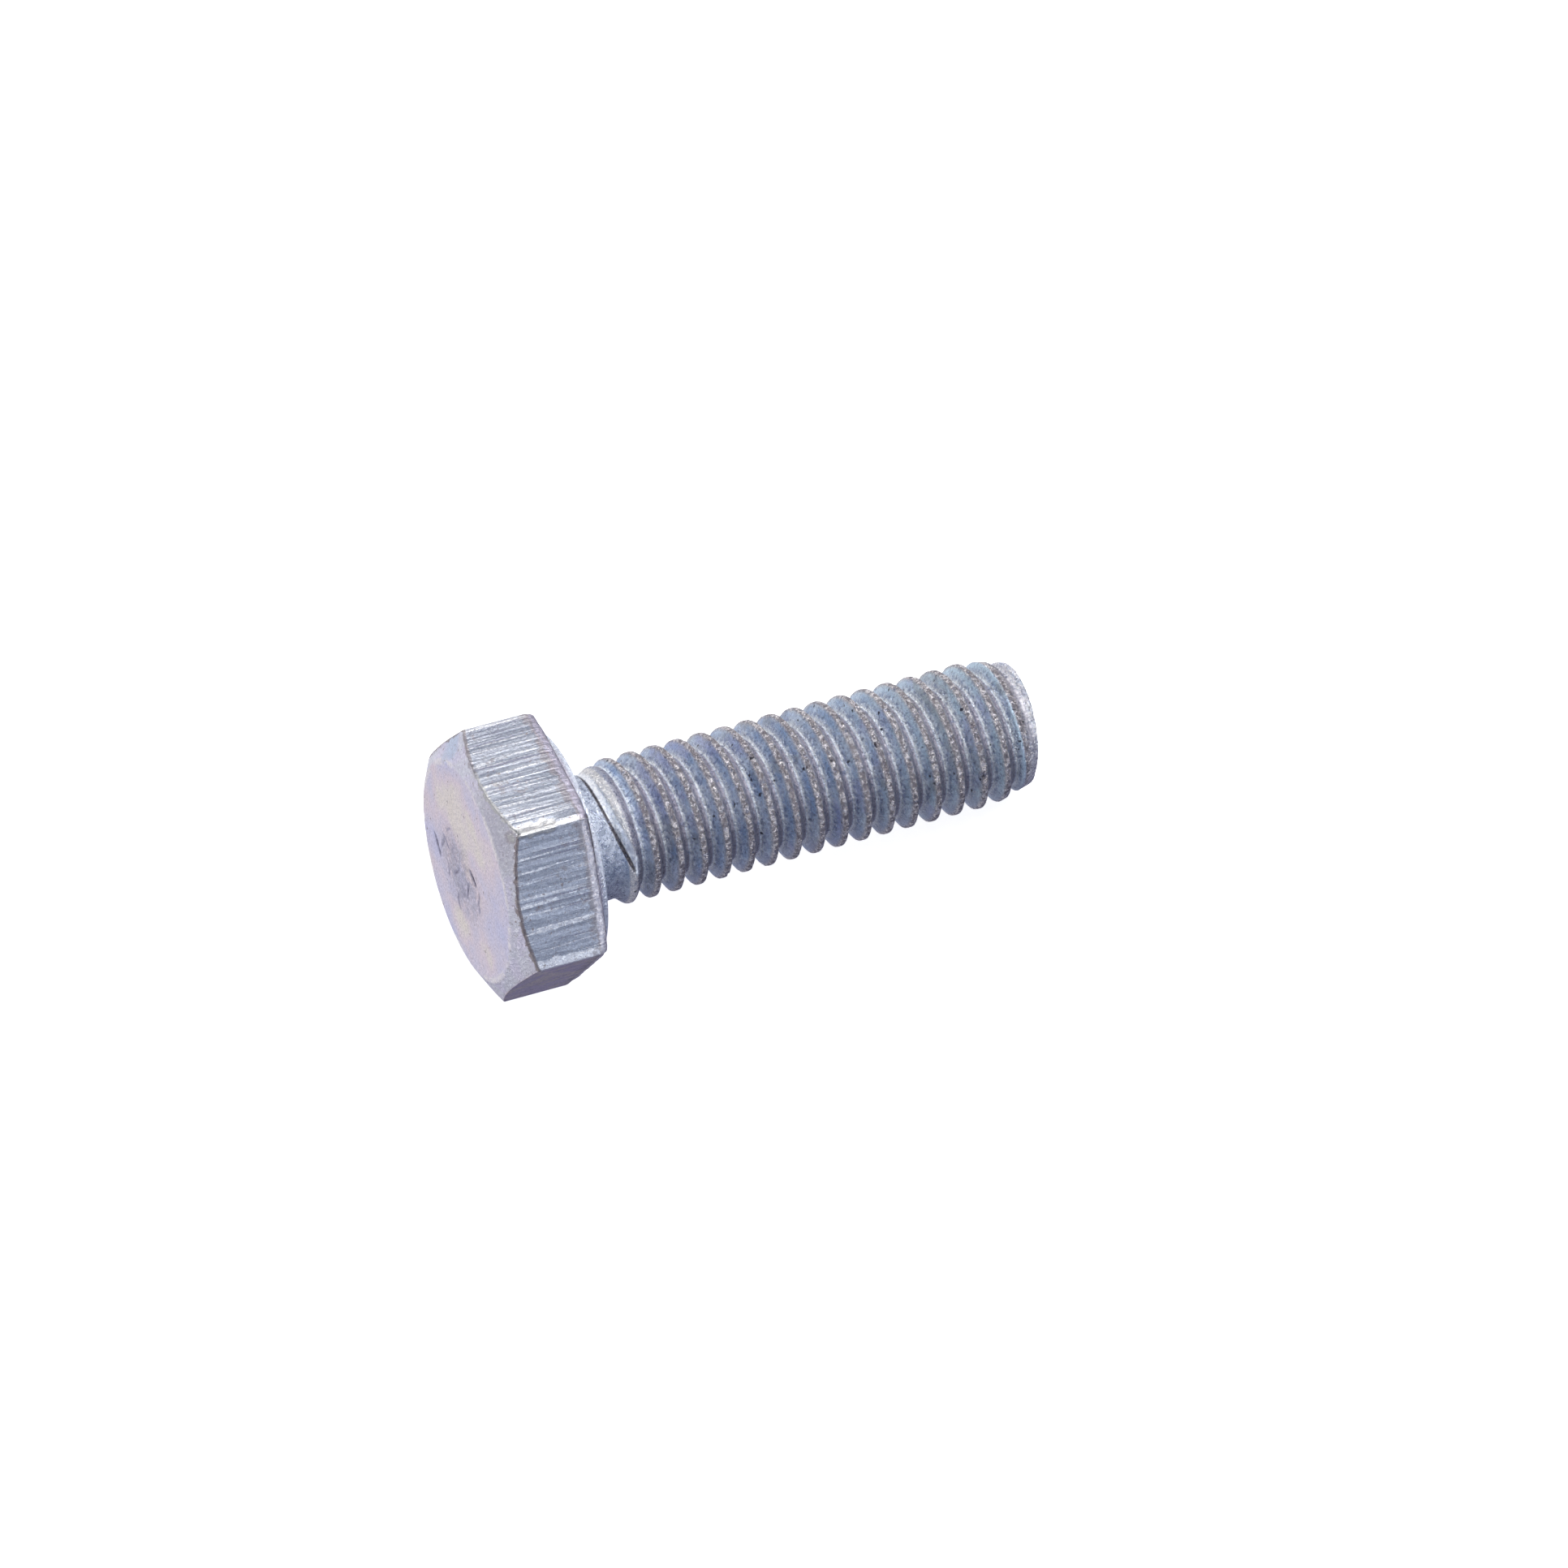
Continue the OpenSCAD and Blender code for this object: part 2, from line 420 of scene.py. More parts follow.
# %% [markdown]
# Now the marks are added up and the points move. A little grain goes over everything, the crown is very
# slightly uneven, and the foot of the hexagon is hammered where the die let go of it.

# %% Head points with their marks
crown_grain = 0.010 * np.abs(lumps(head_points, 1.4, 2, 6)) + 0.003 * np.abs(lumps(head_points, 0.15, 2, 7))
cone_grain = 0.004 * np.abs(lumps(head_points, 0.5, 3, 8))
foot_grain = 0.035 * np.abs(lumps(flat_places, (0.5, 0.6, 1), 3, 9))
nicks = smooth(lumps(flat_places, (9, 0.35, 1), 3, 10), 0.25, 0.8)
edge_nicks = 0.05 * nicks * np.exp(-((past_edge / 0.12) ** 2))
inward = on_crown * crown_grain + on_cone * cone_grain + dent_depth + lip_depth
inward += on_flat * (np.abs(scrape) + on_foot * foot_grain) + (head_stretch >= 1.8) * on_flat * edge_nicks
outward_normals = grid_normals(head_points)
outward_normals *= np.sign((outward_normals * (head_points - [-2, 0, 0])).sum(axis=2, keepdims=True))
inward *= head_stretch < 5
moved = head_points - inward[..., None] * outward_normals
print(f"deepest mark {inward.max():.3f} mm")


# %% [markdown]
# ## The head mesh
#
# The rows become quads, a fan of triangles closes the middle of the crown, and a single face closes the end
# inside the neck. The masks travel with the points as attributes, so the material knows where it is.

# %% Head mesh
def ring_faces(rows, columns):
    """Quads between neighbouring rows of a grid that closes round its columns."""
    row = np.arange(rows - 1)[:, None] * columns
    here = np.arange(columns)[None, :]
    after = (here + 1) % columns
    corners = [row + here, row + after, row + columns + after, row + columns + here]
    return np.stack(corners, axis=2).reshape(-1, 4).tolist()


crown_middle = rows * columns
head_faces = ring_faces(rows, columns)
head_faces += [[crown_middle, (column + 1) % columns, column] for column in range(columns)]
head_faces.append([(rows - 1) * columns + column for column in range(columns)])
middle_point = moved[0].mean(axis=0, keepdims=True)
head_masks = {
    "crown": on_crown,
    "flat": on_flat * 1.0,
    "foot": on_foot,
    "lip": lip,
    "film": film,
    "dent": np.clip(dent_depth / 0.03, 0, 2),
    "worn": worn_middle,
    "across": across,
    "past_edge": np.where(head_stretch < 4, past_edge, 9),
    "side": side * 1.0,
    "stretch": head_stretch,
}
head_masks = {mask: np.append(values.ravel(), values[0, 0]) for mask, values in head_masks.items()}
head = make_piece("head", np.vstack([moved.reshape(-1, 3), middle_point]), head_faces, head_masks)

# %% [markdown]
# ## The thread
#
# A thread is one groove wound round the shank. It could be made by sweeping a profile along a helix, but a
# swept groove is awkward to end at the neck and at the point. Here the whole shank is one skin over a grid
# of place along the axis and angle about it, and a single function says how far each grid point is from the
# axis. The rows of the grid climb one pitch a turn, so that every crest and root keeps its own row.

# %% Thread form
PITCH = 1.0
CREST_FLAT = 0.20
ROOT_FLAT = 0.17
THREAD_DEPTH = 0.58
CREST_AT_BOTTOM = 0.16
CORNER_SOFTNESS = 0.07

flank_run = (PITCH - CREST_FLAT - ROOT_FLAT) / 2


def from_crest(x, angle):
    """Signed way along the axis from the nearest crest, at an angle from +Y towards +Z."""
    along = x - CREST_AT_BOTTOM - PITCH * (angle - 1.5 * math.pi) / (2 * math.pi)
    return along - PITCH * np.round(along / PITCH)


def groove_share(offset):
    """How deep the groove is at a way from the crest: 0 on the crest, 1 in the root, soft at both corners."""
    share = (np.abs(offset) - CREST_FLAT / 2) / flank_run
    soft = CORNER_SOFTNESS
    top = np.where(share < soft, np.maximum(0, share + soft) ** 2 / (4 * soft), share)
    return np.where(share > 1 - soft, 1 - np.maximum(0, 1 + soft - share) ** 2 / (4 * soft), top)


print(f"flank run {flank_run:.3f} mm, root radius {CREST_RADIUS - THREAD_DEPTH:.3f} mm")

# %% [markdown]
# ## Run-out and point
#
# The dies don't start at full depth. Beside the neck the crests rise from the blank within half a turn, the
# groove deepens over a turn and a half, and the edge of the die leaves a sharp crease that sweeps away from
# the head. At the other end the wire was cut off a little out of square, and the last crests are squeezed
# down to a taper.

# %% Run-out and point
RISE_START = 1.4
RISE_LENGTH = 0.65
DEEPEN_START = 1.1
DEEPEN_LENGTH = 1.45
POINT_LENGTH = 1.65
POINT_ANGLE = math.radians(15)
TIP_LEAN = 0.125
TIP_HIGH_ANGLE = math.radians(38.5)
TIP_ROUND = 0.12
CREASE_FROM = math.radians(78)
CREASE_SPAN = math.radians(80)
CREASE_DEPTH = 0.17
CREASE_WALL = 0.06


def end_x(angle):
    """Where the end face is at an angle: it leans back a little on its low side."""
    return TIP_X - TIP_LEAN * (1 - np.cos(angle - TIP_HIGH_ANGLE))


def crease(x, angle):
    """The fold that the edge of the die leaves beside the neck: its depth, and a mask of its sharp line."""
    swept = (np.mod(angle, 2 * math.pi) - CREASE_FROM) / CREASE_SPAN
    crease_x = 1.15 + 0.62 * np.maximum(0, swept) ** 2
    past = x - crease_x
    wall = np.where(past < 0, 1 + past / CREASE_WALL, 1 - past / 0.42)
    fade = smooth(swept, -0.9, 0.0) * (1 - smooth(swept, 0.95, 1.25))
    return CREASE_DEPTH * fade * np.clip(wall, 0, 1), fade * np.exp(-((past / 0.085) ** 2))


print("end face leans back", 2 * TIP_LEAN, "mm")

# %% [markdown]
# With those two in hand, one function gives the radius anywhere on the shank. It takes the smaller of the
# threaded blank and the taper of the point, and cuts the fold out of the blank.

# %% Radius of the shank
def shank_radius(x, angle):
    risen = smooth(x, RISE_START, RISE_START + RISE_LENGTH)
    outer = NECK_RADIUS + risen * (CREST_RADIUS - NECK_RADIUS)
    deepened = np.clip((x - DEEPEN_START) / DEEPEN_LENGTH, 0, 1) ** 2.2
    threaded = outer - deepened * THREAD_DEPTH * groove_share(from_crest(x, angle))
    before_end = end_x(angle) - x
    cone = CREST_RADIUS - np.maximum(0, POINT_LENGTH - before_end) * math.tan(POINT_ANGLE)
    rounding = np.maximum(0, TIP_ROUND - before_end)
    cone -= TIP_ROUND - np.sqrt(np.maximum(0, TIP_ROUND**2 - rounding**2))
    return np.minimum(threaded - crease(x, angle)[0], cone)


print("radius at the end face", shank_radius(np.array([TIP_X]), np.array([TIP_HIGH_ANGLE])).round(3))

# %% [markdown]
# ## The helical grid
#
# Rows stand at chosen ways from the crest, closer together where the profile bends. A row that would pass
# an end of the shank folds into the row that closes it, and quads that lose all their area are left out.

# %% Helical grid
TURN_COLUMNS = 200
crest_rows = np.linspace(-CREST_FLAT / 2 - 0.05, CREST_FLAT / 2 + 0.05, 7)
flank_rows = np.linspace(crest_rows[-1], PITCH / 2 - 0.12, 6)[1:]
root_rows = np.linspace(PITCH / 2 - 0.12, PITCH / 2 + 0.12, 7)[1:]
back_rows = np.linspace(PITCH / 2 + 0.12, PITCH + crest_rows[0], 6)[1:-1]
turn_rows = np.concatenate([crest_rows, flank_rows, root_rows, back_rows])
row_angle = np.arange(TURN_COLUMNS) * 2 * math.pi / TURN_COLUMNS
first_turn = math.floor(NECK_START_X) - 2
last_turn = math.ceil(TIP_X) + 2
turn_bases = np.arange(first_turn, last_turn) * PITCH
rest_rows = (turn_bases[:, None] + turn_rows[None, :]).ravel() + CREST_AT_BOTTOM
free_x = rest_rows[:, None] + PITCH * (row_angle[None, :] - 1.5 * math.pi) / (2 * math.pi)
shank_end = np.tile(end_x(row_angle), (len(rest_rows), 1))
shank_x = np.clip(free_x, NECK_START_X, shank_end)
shank_angle = np.tile(row_angle, (len(rest_rows), 1))
shank_rest = shank_radius(shank_x, shank_angle)
print(f"{len(turn_rows)} rows a turn, {len(rest_rows)} rows by {TURN_COLUMNS} columns")

# %% [markdown]
# ## Marks on the shank
#
# Rolled crests are rough: the metal flows up the two flanks and meets there in a torn seam, and the bolts
# then knock against each other in the plating barrel. The flanks are smooth with a few pits, and the roots
# are burnished by the crest of the die.

# %% Marks on the shank
def on_shank(radius):
    """Points in mm for a radius at every grid point of the shank."""
    return np.stack([shank_x, radius * np.cos(shank_angle), radius * np.sin(shank_angle)], axis=2)


offset = from_crest(shank_x, shank_angle)
deep = groove_share(offset)
threaded_here = smooth(shank_x, 1.3, 2.1)
crest_mask = (1 - smooth(deep, 0.03, 0.24)) * smooth(shank_x, 1.15, 1.5)
root_edge = -(CREST_FLAT / 2 + flank_run)
root_mask = np.exp(-(((offset - root_edge) / 0.045) ** 2)) * threaded_here
tipward_mask = np.maximum(smooth(offset, 0.07, 0.13), 1 - smooth(offset, -0.49, -0.45)) * threaded_here
crease_fold, crease_mask = crease(shank_x, shank_angle)
# this mask marks the fold's outer side, which the finish paints pale as painted light
fold_light_mask = smooth(crease_fold, 0.01, 0.05) * (1 - smooth(crease_mask, 0.2, 0.8)) * smooth(shank_x, 1.15, 1.3)
tip_mask = smooth(shank_x - end_x(shank_angle), -0.75, -0.35)
shank_places = on_shank(shank_rest)
torn = lumps(shank_places, 0.16, 3, 11)
dull = lumps(shank_places, 0.7, 2, 12)
knocks = smooth(lumps(shank_places, 0.5, 2, 13), 0.35, 0.8)
shank_inward = crest_mask * (0.020 * np.abs(torn) + 0.05 * knocks + 0.012 * np.abs(dull))
shank_inward += (1 - crest_mask) * (0.004 * np.abs(torn) + 0.006 * np.abs(dull)) * threaded_here
shank_inward += tip_mask * 0.03 * np.abs(torn)
print(f"deepest knock {shank_inward.max():.3f} mm")

# %% [markdown]
# ## The shank mesh
#
# The column after the last one is the first one a whole turn further up, so its rows are shifted by one
# turn's worth. The end face is a slightly dished disc of rings that shrink towards its middle.

# %% Shank mesh
points_grid = on_shank(shank_rest - shank_inward)
total_rows = len(rest_rows)
low_row = (free_x <= NECK_START_X).sum(axis=0) - 1
high_row = total_rows - (free_x >= shank_end).sum(axis=0)


def grid_index(row, column):
    """Index of a grid point, with the shift of a turn past the last column and the folds at both ends."""
    past = column // TURN_COLUMNS
    column = column % TURN_COLUMNS
    row = np.clip(row + past * len(turn_rows), low_row[column], high_row[column])
    return row * TURN_COLUMNS + column


quad_rows = np.arange(total_rows - len(turn_rows) - 1)[:, None]
quad_columns = np.arange(TURN_COLUMNS)[None, :]
quads = np.stack(
    [
        grid_index(quad_rows, quad_columns),
        grid_index(quad_rows, quad_columns + 1),
        grid_index(quad_rows + 1, quad_columns + 1),
        grid_index(quad_rows + 1, quad_columns),
    ],
    axis=2,
).reshape(-1, 4)
shank_faces = []
for quad in quads.tolist():
    face = [corner for spot, corner in enumerate(quad) if corner != quad[spot - 1]]
    if len(face) > 2:
        shank_faces.append(face)
print(f"{len(shank_faces)} faces round the thread")

# %% [markdown]
# The end of the point was sheared, so the disc that closes it is dished in the middle and torn across.

# %% End face
END_RINGS = 16
DISH = 0.16

end_rim = high_row * TURN_COLUMNS + np.arange(TURN_COLUMNS)
rim_points = points_grid.reshape(-1, 3)[end_rim]
end_rows = []
for ring in range(1, END_RINGS):
    share = 1 - ring / END_RINGS
    ring_points = rim_points * [1, share, share]
    ring_points[:, 0] = TIP_X - TIP_LEAN * (1 - np.cos(row_angle - TIP_HIGH_ANGLE) * share)
    ring_points[:, 0] -= DISH * (1 - share**2) + 0.03 * np.abs(lumps(ring_points, (1, 0.25, 1.2), 3, 14))
    end_rows.append(ring_points)
end_grid = np.array(end_rows)
end_middle = end_grid[-1].mean(axis=0, keepdims=True)
first_end = total_rows * TURN_COLUMNS
middle_index = first_end + end_grid.shape[0] * TURN_COLUMNS
for column in range(TURN_COLUMNS):
    after = (column + 1) % TURN_COLUMNS
    shank_faces.append([end_rim[column], end_rim[after], first_end + after, first_end + column])
    last_ring = first_end + (end_grid.shape[0] - 1) * TURN_COLUMNS
    shank_faces.append([last_ring + column, last_ring + after, middle_index])
end_faces = ring_faces(end_grid.shape[0], TURN_COLUMNS)
shank_faces += [[first_end + corner for corner in face] for face in end_faces]
shank_faces.append([int(low_row[column] * TURN_COLUMNS + column) for column in range(TURN_COLUMNS)][::-1])
print(f"end face dished {DISH} mm")

# %% [markdown]
# Grid points that no face uses are dropped before the mesh is made.

# %% Shank piece
all_points = np.vstack([points_grid.reshape(-1, 3), end_grid.reshape(-1, 3), end_middle])
extra = len(all_points) - points_grid.shape[0] * points_grid.shape[1]
shank_masks = {
    "crest": np.append(crest_mask.ravel(), np.zeros(extra)),
    "root": np.append(root_mask.ravel(), np.zeros(extra)),
    "tipward": np.append(tipward_mask.ravel(), np.zeros(extra)),
    "tip": np.append(tip_mask.ravel(), np.ones(extra)),
    "crease": np.append(crease_mask.ravel(), np.zeros(extra)),
    "pale": np.append(fold_light_mask.ravel(), np.zeros(extra)),
    "deep": np.append(deep.ravel(), np.zeros(extra)),
    "threaded": np.append(threaded_here.ravel(), np.ones(extra)),
}
used = np.unique(np.concatenate([np.array(face) for face in shank_faces]))
renumbered = np.zeros(len(all_points), int)
renumbered[used] = np.arange(len(used))
shank_faces = [renumbered[face].tolist() for face in shank_faces]
shank_masks = {mask: values[used] for mask, values in shank_masks.items()}
shank = make_piece("shank", all_points[used], shank_faces, shank_masks)


# %% [markdown]
# ## Shader sums in plain Python
#
# A node tree is a sum written as boxes and wires. Writing it as a Python expression is shorter and easier
# to read, so a small class wraps a socket and turns each arithmetic sign into a Math node. Every other node
# comes from one method that takes its type, its settings and what goes into its sockets.

# %% Shader helper
class Wire:
    """A shader output that takes Python's arithmetic signs."""

    def __init__(self, paint, socket):
        self.paint = paint
        self.socket = socket

    def __add__(self, other):
        return self.paint.math("ADD", self, other)

    def __sub__(self, other):
        return self.paint.math("SUBTRACT", self, other)

    def __rsub__(self, other):
        return self.paint.math("SUBTRACT", other, self)

    def __mul__(self, other):
        return self.paint.math("MULTIPLY", self, other)

    __radd__ = __add__
    __rmul__ = __mul__


print("a wire takes + - *")

# %% [markdown]
# The second class holds the tree. `node` makes any node, and the methods after it are the handful of nodes
# that every finish uses: a mask from the mesh, a soft step, a sum, a mix of two colours and noise.

# %% Node tree helper
class Paint:
    """A node tree that is filled by expressions."""

    def __init__(self, owner):
        owner.use_nodes = True
        self.tree = owner.node_tree
        self.tree.nodes.clear()

    def node(self, kind, settings=None, sockets=None, output=0):
        """A new node: its type, its settings, what its sockets hold or are linked to, and the output used."""
        node = self.tree.nodes.new("ShaderNode" + kind)
        for setting, value in (settings or {}).items():
            if setting == "stops":
                self.set_stops(node.color_ramp, value)
            else:
                setattr(node, setting, value)
        for name, value in (sockets or {}).items():
            if isinstance(value, Wire):
                self.tree.links.new(value.socket, node.inputs[name])
            else:
                node.inputs[name].default_value = value
        return Wire(self, node.outputs[output]) if node.outputs else node

    def set_stops(self, ramp, stops):
        while len(ramp.elements) < len(stops):
            ramp.elements.new(1.0)
        for element, (position, colour) in zip(ramp.elements, stops):
            element.position = position
            element.color = (*colour, 1)

    def mask(self, name):
        """A mask that the mesh carries."""
        return self.node("Attribute", {"attribute_name": name}, output="Fac")

    def ease(self, value, low, high):
        """0 below low, 1 above high, and a soft S between."""
        sockets = {"Value": value, "From Min": low, "From Max": high}
        return self.node("MapRange", {"interpolation_type": "SMOOTHSTEP"}, sockets)

    def math(self, operation, *values):
        """A Math node by name, for the sums that have no sign."""
        return self.node("Math", {"operation": operation}, dict(enumerate(values)))

    def mix(self, share, first, second, blend="MIX"):
        """A colour between two others. Sockets 6 and 7 are the colours of a Mix node."""
        colours = [(*c, 1) if isinstance(c, tuple) else c for c in (first, second)]
        settings = {"data_type": "RGBA", "blend_type": blend}
        return self.node("Mix", settings, {0: share, 6: colours[0], 7: colours[1]}, output=2)

    def stretch(self, place, amounts):
        """A place scaled by a different amount along each axis."""
        return self.node("VectorMath", {"operation": "MULTIPLY"}, {0: place, 1: amounts})

    def grain(self, place, scale, detail=3.0, rough=0.55, seed=0.0):
        """Noise from 0 to 1 in lumps, scale of them to the millimetre."""
        shift = self.node("VectorMath", {"operation": "ADD"}, {0: place, 1: (seed * 7.3,) * 3})
        sockets = {"Vector": shift, "Scale": scale, "Detail": detail, "Roughness": rough}
        return self.node("TexNoise", {}, sockets)


def place_in_mm(paint):
    """Where a point of the bolt is, in mm."""
    place = paint.node("TexCoord", output="Object")
    return paint.node("VectorMath", {"operation": "SCALE"}, {0: place, "Scale": MM})


print("shader helper ready")

# %% [markdown]
# ## Zinc on the head
#
# Zinc takes its looks from what lies under it, so the head's finish is built up in layers: the crown and the
# cone, the scraped flats, the corners and the foot, the edge of the crown, then wear and dirt over all of
# them. Each layer is a function that takes the colour so far and gives back a new one. One long function
# would do the same, but a layer that stands alone is easier to change.
#
# The masks and the patterns that several layers need are gathered first. Three of the six flats have a tone
# of their own, so each of the three gets a mask from the number of its side.

# %% Masks of the head
HEAD_MASKS = ("crown", "flat", "foot", "lip", "film", "dent", "worn", "past_edge", "across", "stretch")


def head_skin(paint):
    """The head's masks and its common patterns by name."""
    skin = SimpleNamespace(**{name: paint.mask(name) for name in HEAD_MASKS})
    side = paint.mask("side")
    skin.upper = 1.0 - paint.ease(paint.math("ABSOLUTE", side - UPPER_FLAT), 0.2, 0.4)
    skin.near = 1.0 - paint.ease(paint.math("ABSOLUTE", side - NEAR_FLAT), 0.2, 0.4)
    skin.low = 1.0 - paint.ease(paint.math("ABSOLUTE", side - LOW_FLAT), 0.2, 0.4)
    skin.place = place_in_mm(paint)
    skin.speckle = paint.ease(paint.grain(skin.place, 8.0, 4.0, 0.7, 2), 0.36, 0.64)
    skin.mottle = paint.ease(paint.grain(skin.place, 0.9, 4.0, 0.65, 1), 0.42, 0.58)
    skin.ripple = paint.grain(skin.place, 2.8, 3.0, 0.65, 7) - 0.5
    skin.patches = paint.ease(paint.grain(skin.place, 1.8, 4.0, 0.7, 8), 0.45, 0.55)
    skin.lines = paint.grain(paint.stretch(skin.place, (0.25, 5.5, 5.5)), 1.0, 4.0, 0.65, 3)
    skin.light_hairs = paint.grain(paint.stretch(skin.place, (0.18, 7.0, 7.0)), 1.0, 2.0, 0.5, 4)
    return skin


print("head has", len(HEAD_MASKS) + 1, "masks")

# %% [markdown]
# Bright zinc gets a passivation dip that leaves a film thinner than a wavelength of light. Its colour goes
# from pale blue through lilac and pink to cream as it thickens. A thin-film setting would give colours that
# swim with the view, while the real ones are pale and stay put, so a ramp turns the thickness that the mesh
# carries into a colour instead.
#
# The cone is mottled grey and lilac with little film, and it is duller by the near corner. A pale broken ring
# marks the edge of the crown's disc.

# %% Crown and cone
CONE_GREY = (0.74, 0.75, 0.81)
CONE_LILAC = (0.75, 0.72, 0.84)
CONE_DULL = (0.50, 0.50, 0.55)
DULL_SPOT = (-3.7, -2.0, 4.4)
DISC_EDGE = (0.88, 0.84, 0.82)
FILM = [
    (0.00, (0.57, 0.66, 0.81)),
    (0.20, (0.64, 0.63, 0.80)),
    (0.38, (0.70, 0.66, 0.77)),
    (0.55, (0.77, 0.68, 0.74)),
    (0.75, (0.81, 0.75, 0.71)),
    (1.00, (0.80, 0.73, 0.65)),
]


def distance_to(paint, place, spot):
    """How far a place is from a spot on the bolt, in mm."""
    return paint.node("VectorMath", {"operation": "DISTANCE"}, {0: place, 1: spot}, "Value")


def crown_and_cone(paint, skin):
    colour = paint.mix(skin.mottle, CONE_GREY, CONE_LILAC)
    film = paint.node("ValToRGB", {"stops": FILM}, {"Fac": skin.film})
    thin = 1.0 - paint.ease(skin.film, 0.02, 0.24)
    colour = paint.mix(paint.math("MAXIMUM", 0.15 + 0.85 * skin.crown, 0.8 * thin), colour, film)
    close = 1.0 - paint.ease(distance_to(paint, skin.place, DULL_SPOT), 0.6, 3.0)
    colour = paint.mix((1.0 - skin.crown) * close * 0.7, colour, CONE_DULL)
    disc_edge = paint.ease(skin.stretch, 0.96, 1.00) * (1.0 - paint.ease(skin.stretch, 1.35, 1.60))
    return paint.mix(disc_edge * skin.mottle * 0.7, colour, DISC_EDGE)


print("film has", len(FILM), "colours")

# %% [markdown]
# The flats are streaked along the axis. Broad lines shift between a dim and a lit tone, and dark hairs are
# deep scratches. Light hairs are where the die polished a ridge, and they are painted white as painted
# glints. The upper flat faces the overhead light and would glare, so its tones are set lower, and lowest at
# its far end.
# The low flat is tarnished, from lilac to tan, and brown spots show where bare steel comes through.

# %% Scraped flats
FLAT_DIM = (0.38, 0.405, 0.465)
FLAT_LIT = (0.59, 0.625, 0.69)
UPPER_DIM = (0.30, 0.33, 0.39)
UPPER_LIT = (0.53, 0.56, 0.62)
UPPER_SHADE = (0.24, 0.26, 0.32)
SCRATCH_DARK = (0.30, 0.30, 0.38)
TARNISH_LILAC = (0.70, 0.58, 0.72)
TARNISH_TAN = (0.90, 0.77, 0.67)
STEEL_BROWN = (0.30, 0.25, 0.24)
WHITE = (1.00, 1.00, 1.00)


def scraped_flats(paint, skin, colour):
    dim = paint.mix(skin.upper, FLAT_DIM, UPPER_DIM)
    lit = paint.mix(skin.upper, FLAT_LIT, UPPER_LIT)
    scraped = paint.mix(paint.ease(skin.lines, 0.38, 0.62), dim, lit)
    dark_hairs = paint.grain(paint.stretch(skin.place, (0.18, 8.0, 8.0)), 1.0, 2.0, 0.5, 9)
    scraped = paint.mix(paint.ease(dark_hairs, 0.57, 0.65) * 0.65, scraped, SCRATCH_DARK)
    # painted glints: the light hairs are painted white, partly polished ridges
    glint = paint.ease(skin.light_hairs, 0.56, 0.63) * (0.45 + 0.55 * skin.speckle)
    scraped = paint.mix(glint * (1.0 - 0.35 * skin.upper), scraped, WHITE)
    far_end = skin.upper * (1.0 - paint.ease(skin.across, -2.4, -0.2))
    scraped = paint.mix(far_end * 0.35, scraped, UPPER_SHADE)
    colour = paint.mix(skin.flat, colour, scraped)
    tarnish = paint.mix(skin.mottle, TARNISH_LILAC, TARNISH_TAN)
    colour = paint.mix(skin.low * skin.flat * (0.55 + 0.3 * skin.speckle), colour, tarnish)
    spots = paint.ease(paint.grain(skin.place, 1.7, 4.0, 0.7, 5), 0.60, 0.68)
    return paint.mix(spots * 0.45 * skin.flat, colour, STEEL_BROWN)


print("flats go from", FLAT_DIM, "to", FLAT_LIT)

# %% [markdown]
# Corners are painted pale: partly wear from rubbing against everything in the barrel, partly painted
# highlight where the worn bevels catch the light, and the near flat has a pale strip of the same kind along
# its lower corner. The rolled-over foot is painted paler than the flat above it, as painted light on its
# rounding, or duller on the glaring upper flat, as painted shade, and it lies between a brown fringe and a
# brown seam. The washer face, its rim and the fillet get a pale painted highlight. `stretch` counts the parts
# of the profile,
# so these bands are places on that count: 2 to 3 is the flat, 3 to 4 the foot, 4 to 5 the underside.

# %% Corners and foot
FOOT_PAINTED_LIGHT = (0.96, 0.90, 0.90)
FOOT_SHADE = (0.50, 0.46, 0.55)
WASHER_PAINTED_HIGHLIGHT = (0.86, 0.92, 1.00)


def corners_and_foot(paint, skin, colour):
    corner = paint.ease(paint.math("ABSOLUTE", skin.across), half_flat - 0.16, half_flat - 0.02)
    strip = paint.ease(skin.across + 0.5 * skin.ripple, half_flat - 0.36, half_flat - 0.26)
    # painted highlight, partly wear: pale corners and the near flat's strip by its lower corner
    colour = paint.mix((corner * 0.5 + skin.near * strip * 0.8) * skin.flat, colour, WHITE)
    # painted light on the foot's rounding, and painted shade on the foot of the upper flat
    foot_light_and_shade = paint.mix(skin.upper, FOOT_PAINTED_LIGHT, FOOT_SHADE)
    colour = paint.mix(skin.foot * (0.55 + 0.45 * skin.speckle), colour, foot_light_and_shade)
    uneven = skin.stretch + 0.6 * skin.ripple
    fringe = paint.ease(uneven, 2.90, 3.0) * (1.0 - paint.ease(uneven, 3.05, 3.2))
    seam = paint.ease(skin.stretch, 3.75, 4.0) * (1.0 - paint.ease(skin.stretch, 4.02, 4.3))
    colour = paint.mix(fringe * 0.5 + seam * 0.85, colour, STEEL_BROWN)
    # painted highlight on the washer face, its rim and the fillet
    return paint.mix(paint.ease(skin.stretch, 5.1, 5.4) * 0.85, colour, WASHER_PAINTED_HIGHLIGHT)


print("corners start", round(half_flat - 0.16, 2), "mm from the middle of a flat")

# %% [markdown]
# The arc where the cone meets the flats is a thin line. It is painted brown, partly a brown tint and partly
# painted shade in the fine crevice of the arc, and it turns bright on the upper flat as it comes near the
# dragged lip. The lip itself is bare smeared metal, and it ends in a small curl on the cone with a dirty ring
# round it.

# %% Edge of the crown
BURR_WHITE = (0.52, 0.52, 0.51)
CURL_SPOT = (-3.58, -2.70, 4.68)


